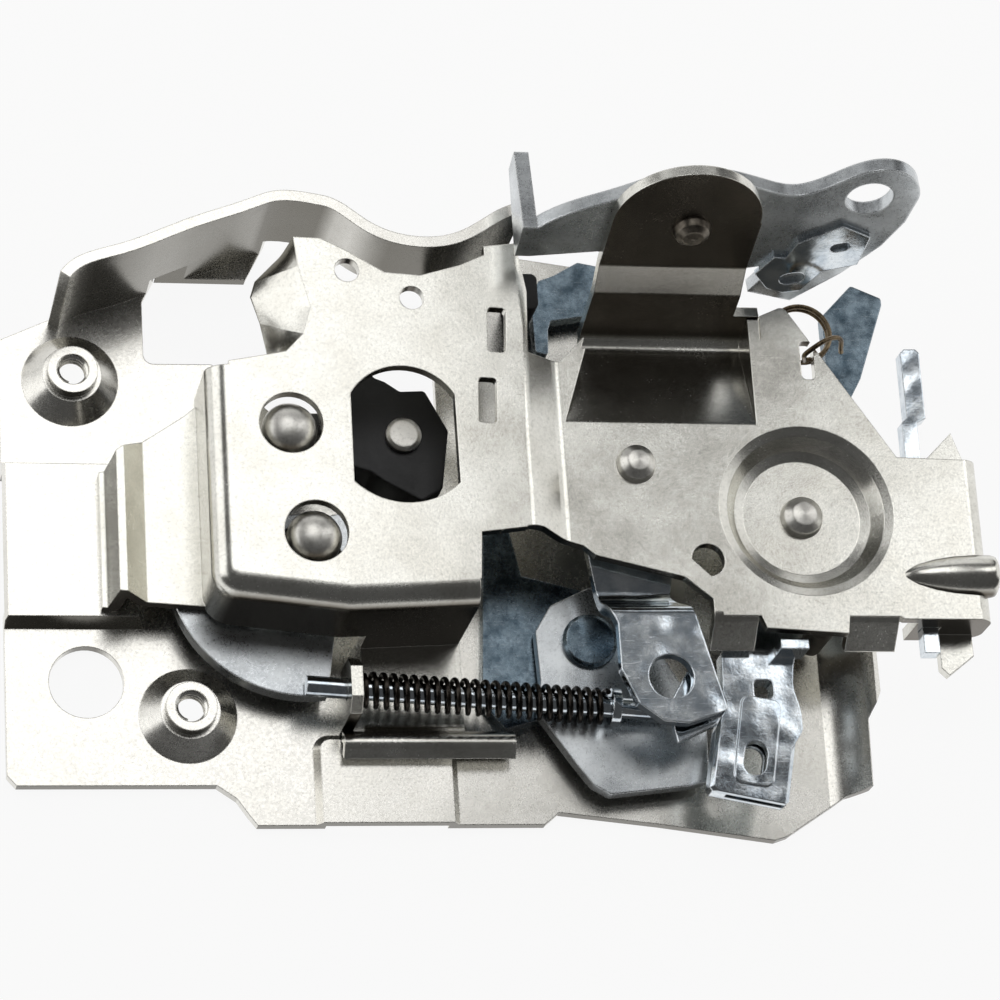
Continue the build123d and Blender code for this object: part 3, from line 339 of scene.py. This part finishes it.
# smooth caps over the stepped domes in the two windows: radius and height
domeCap = {"centres": ((29.6, 34.0), (32.7, 16.6)), "steps": 56, "profile": (
    (4.14, 20.4), (4.14, 21.3), (3.95, 22.0), (3.5, 22.65), (2.8, 23.15), (1.9, 23.5), (0.9, 23.72),
    (0.0, 23.78))}
for index, (x, y) in enumerate(domeCap["centres"]):
    capLine = [((x + r) * mm, y * mm, z * mm) for r, z in domeCap["profile"]]
    cap = turned(capLine, (x * mm, y * mm, 0), (0, 0, 1), domeCap["steps"])
    rim = [edge for edge in cap.edges if edge.is_boundary]
    bmesh.ops.contextual_create(cap, geom=rim)  # closed underneath
    finishPiece(cap, f"window_dome_{index + 1}", "rivet_steel", "housing", 60)
print("rivet domes")

# round wire in place of the six-sided one: a coil and the arm that hooks over the bracket
hookSpring = {"axis": (113.0, 53.6), "low": 16.9, "coil": 4.7, "wire": 0.4, "pitch": -1.1, "turns": 1.92,
              "sides": 12, "steps": 77,
              "arm": ((0.1, -4.7, 16.6), (-0.3, -4.9, 20.8), (4.6, -2.5, 20.9), (6.2, -3.3, 17.0))}
hookX, hookY = hookSpring["axis"]
wound = bmesh.new()
wireEnd = bmesh.ops.create_circle(wound, cap_ends=True, segments=hookSpring["sides"],
                                  radius=hookSpring["wire"] * mm)["verts"]
bmesh.ops.rotate(wound, verts=wireEnd, cent=(0, 0, 0), matrix=Matrix.Rotation(math.pi / 2, 3, "Y"))
bmesh.ops.translate(wound, verts=wireEnd,
                    vec=(hookX * mm, (hookY - hookSpring["coil"]) * mm, hookSpring["low"] * mm))
wind(wound, (hookX * mm, hookY * mm, 0), (0, 0, 1), hookSpring["pitch"] * mm, hookSpring["turns"],
     hookSpring["steps"])
armCurve = bpy.data.curves.new("hook_arm_line", "CURVE")
armCurve.dimensions = "3D"
armCurve.bevel_depth = hookSpring["wire"] * mm
armCurve.bevel_resolution = 3
armCurve.use_fill_caps = True
armLine = armCurve.splines.new("BEZIER")
armLine.bezier_points.add(len(hookSpring["arm"]) - 1)
for point, (x, y, z) in zip(armLine.bezier_points, hookSpring["arm"]):
    point.co = ((hookX + x) * mm, (hookY + y) * mm, z * mm)
    point.handle_left_type = point.handle_right_type = "AUTO"
armObj = bpy.data.objects.new("hook_arm_line", armCurve)
wound.from_mesh(bpy.data.meshes.new_from_object(armObj))
bpy.data.objects.remove(armObj)
hookPiece = finishPiece(wound, "torsion_spring_wire", "bronze_wire", "housing", 60)
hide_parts("torsion_spring")
print("hooked spring")

# screw threads in the collars: a ridge section with its foot just inside the wall, wound upwards
collarThread = {"centres": ((-1.3, 49.3), (15.3, -5.4)), "pitch": 1.0, "start": 3.8, "turns": 2.7,
                "stepsInTurn": 40,
                "section": ((2.52, -0.42), (2.05, -0.06), (2.05, 0.06), (2.52, 0.42))}  # radius and height
for index, (x, y) in enumerate(collarThread["centres"]):
    ridge = bmesh.new()
    ridge.faces.new([ridge.verts.new((radius * mm, 0, z * mm)) for radius, z in collarThread["section"]])
    bmesh.ops.translate(ridge, verts=ridge.verts, vec=(x * mm, y * mm, collarThread["start"] * mm))
    wind(ridge, (x * mm, y * mm, 0), (0, 0, 1), collarThread["pitch"] * mm, collarThread["turns"],
         round(collarThread["stepsInTurn"] * collarThread["turns"]))
    finishPiece(ridge, f"collar_thread_{index + 1}", "plate_zinc", "housing")
print("threads in the collars")

# floor, light and camera
studio = {
    "floorSize": 4, "paper": "#ededeb", "paperGlow": 0.92, "roomFill": 0.07, "roomSeen": 0.95,
    # name, place, target, width, height, power
    "lamps": (
        ("keySoftbox", (0.012, 0.3, 0.65), (0.012, 0.12, 0.0), 0.36, 0.4, 0.75),
        ("fillSoftbox", (0.25, 0.3, 0.64), (0.12, 0.1, 0.0), 0.16, 0.36, 0.025),
        ("rightStrip", (0.45, 0.27, 0.6), (0.15, 0.05, 0.0), 0.18, 0.34, 0.36),
        ("leftWall", (-0.55, 0.2, 0.28), (0.05, 0.03, 0.02), 0.7, 0.5, 1.5),
        ("rightWall", (0.7, 0.2, 0.25), (0.06, 0.03, 0.02), 0.6, 0.5, 0.85),
        ("backWall", (0.05, 0.8, 0.28), (0.06, 0.03, 0.02), 1.0, 0.5, 1.2)),
    "cameraPlace": (-0.06672, -0.20162, 0.60448), "cameraTurn": (21.3297, -11.0743, -3.5519),
    "lens": 150.93, "sensor": 36, "clipStart": 0.01,
}
floorMesh = bmesh.new()
bmesh.ops.create_grid(floorMesh, x_segments=1, y_segments=1, size=studio["floorSize"])
floorData = bpy.data.meshes.new("studioFloor")
floorMesh.to_mesh(floorData)
floorMesh.free()
floor = bpy.data.objects.new("studioFloor", floorData)
scene.collection.objects.link(floor)
# matt paper that glows white to the camera and in reflections, and keeps a little of the shadow
paper = bpy.data.materials.new("whitePaperFloor")
paper.use_nodes = True
paperTree = paper.node_tree
paperTree.nodes.clear()
rayKind = addNode(paperTree, "ShaderNodeLightPath")
matte = addNode(paperTree, "ShaderNodeBsdfDiffuse", {}, {"Color": hexColour(studio["paper"])})
glow = addNode(paperTree, "ShaderNodeEmission", {}, {"Color": (1, 1, 1, 1), "Strength": 1.0})
mirrored = addNode(paperTree, "ShaderNodeMath", {"operation": "MAXIMUM"}, {
    0: rayKind.outputs["Is Glossy Ray"], 1: rayKind.outputs["Is Transmission Ray"]})
seen = addNode(paperTree, "ShaderNodeMath", {"operation": "MAXIMUM"}, {
    0: rayKind.outputs["Is Camera Ray"], 1: mirrored.outputs[0]})
shown = addNode(paperTree, "ShaderNodeMath", {"operation": "MULTIPLY"}, {
    0: seen.outputs[0], 1: studio["paperGlow"]})
blendPaper = addNode(paperTree, "ShaderNodeMixShader", {}, {
    0: shown.outputs[0], 1: matte.outputs[0], 2: glow.outputs[0]})
addNode(paperTree, "ShaderNodeOutputMaterial", {}, {"Surface": blendPaper.outputs[0]})
floorData.materials.append(paper)

# the camera sees a white room, the object gets only its faint fill
world = bpy.data.worlds.new("studioWorld")
scene.world = world
world.use_nodes = True
room = world.node_tree.nodes["Background"]
room.inputs["Color"].default_value = (1, 1, 1, 1)
roomRay = addNode(world.node_tree, "ShaderNodeLightPath")
roomLevel = addNode(world.node_tree, "ShaderNodeMapRange", {}, {
    "Value": roomRay.outputs["Is Camera Ray"], "To Min": studio["roomFill"], "To Max": studio["roomSeen"]})
world.node_tree.links.new(roomLevel.outputs["Result"], room.inputs["Strength"])

for name, place, target, width, height, power in studio["lamps"]:
    lampData = bpy.data.lights.new(name, "AREA")
    lampData.shape = "RECTANGLE"
    lampData.size = width
    lampData.size_y = height
    lampData.energy = power
    lamp = bpy.data.objects.new(name, lampData)
    scene.collection.objects.link(lamp)
    lamp.location = place
    lamp.rotation_euler = (Vector(target) - Vector(place)).to_track_quat("-Z", "Y").to_euler()

cameraData = bpy.data.cameras.new("photoCamera")
cameraData.lens = studio["lens"]
cameraData.sensor_width = studio["sensor"]
cameraData.clip_start = studio["clipStart"]
camera = bpy.data.objects.new("photoCamera", cameraData)
scene.collection.objects.link(camera)
camera.location = studio["cameraPlace"]
camera.rotation_euler = [math.radians(a) for a in studio["cameraTurn"]]
scene.camera = camera
scene.view_settings.view_transform = "Standard"
print("studio")
